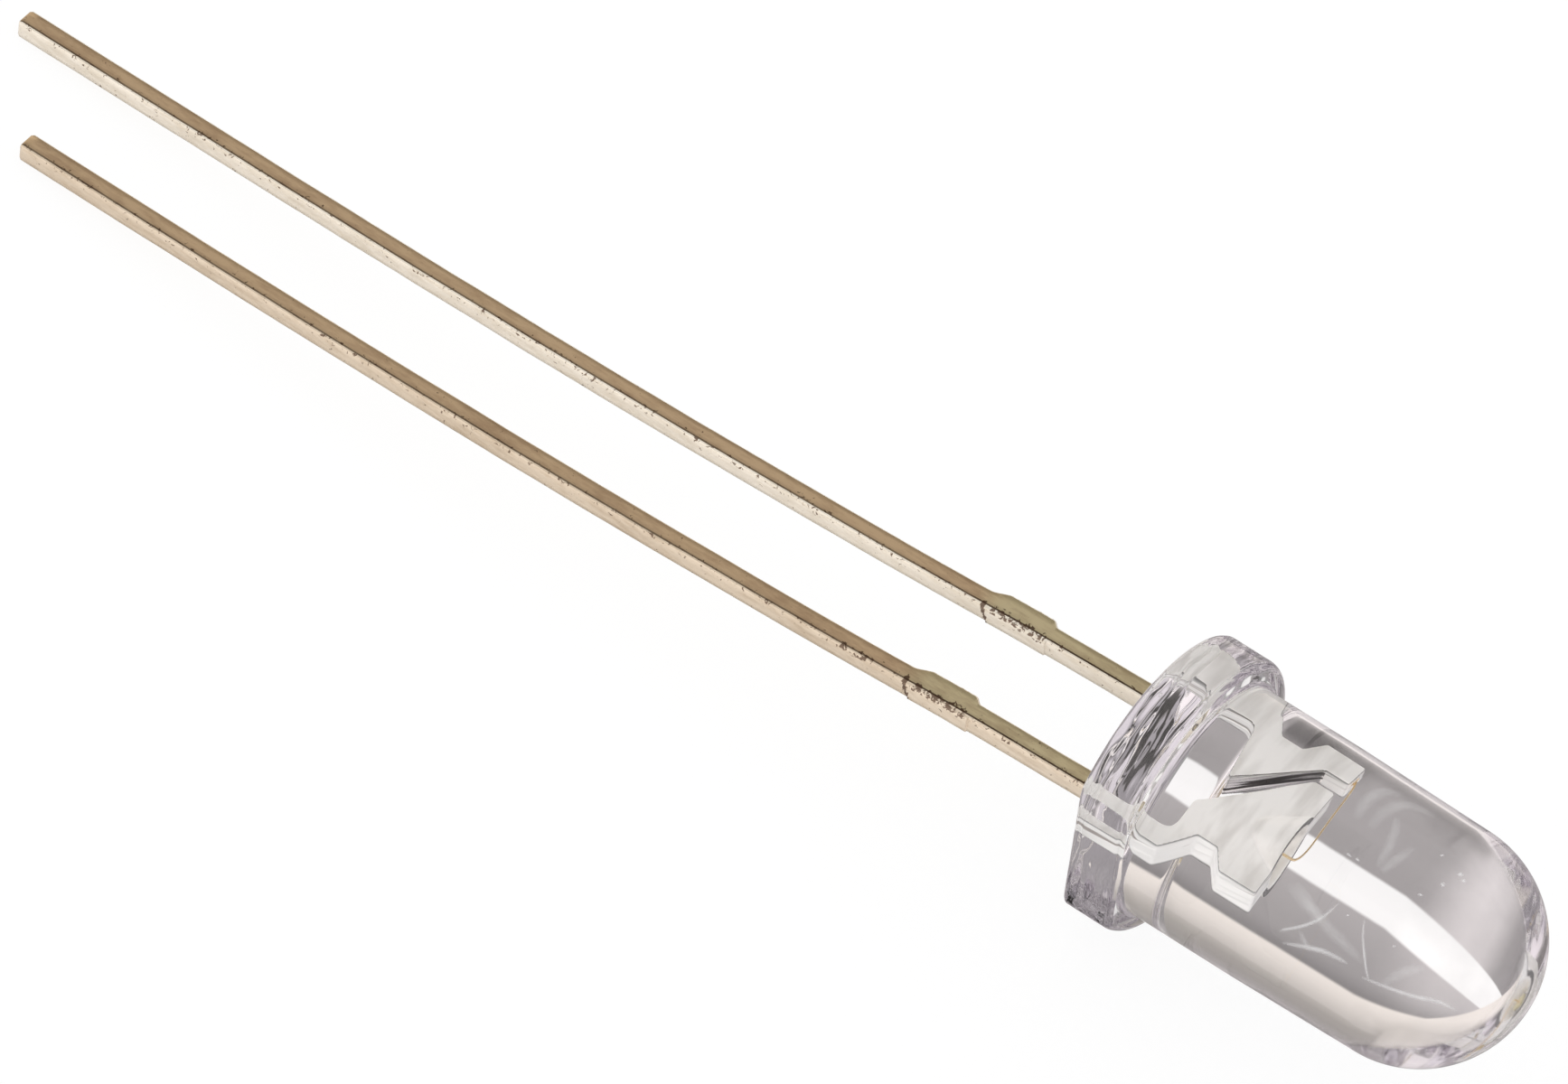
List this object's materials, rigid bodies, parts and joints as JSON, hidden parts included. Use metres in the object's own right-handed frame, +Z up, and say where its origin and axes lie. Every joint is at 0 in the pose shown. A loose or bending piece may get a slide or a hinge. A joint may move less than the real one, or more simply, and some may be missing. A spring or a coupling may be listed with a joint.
{
  "type": "through hole led",
  "caption": "Clear round through-hole LED lying at rest: domed epoxy body with flange and cathode flat, moulded over square tinned leads of unequal length.",
  "frame": {"origin": "on the surface it lies on, under the middle of its length and under the lamp's own axis", "axes": "+X along the leads toward the dome, level; +Z up; the cathode lead lies toward -Y. The lamp's own axis rises 5.7 degrees from +X toward +Z, because the flange holds that end up."},
  "size_m": [0.0368, 0.0057, 0.006],
  "materials": {
    "clear_epoxy": "gloss",
    "tinned_steel": "satin",
    "chip": "satin",
    "silver_paste": "matte",
    "gold": "gloss"
  },
  "bodies": {
    "root": {"lens_body": "clear_epoxy", "cathode_lead": "tinned_steel", "anode_lead": "tinned_steel", "led_die": "chip", "die_attach": "silver_paste", "bond_wire": "gold"}
  },
  "joints": []
}
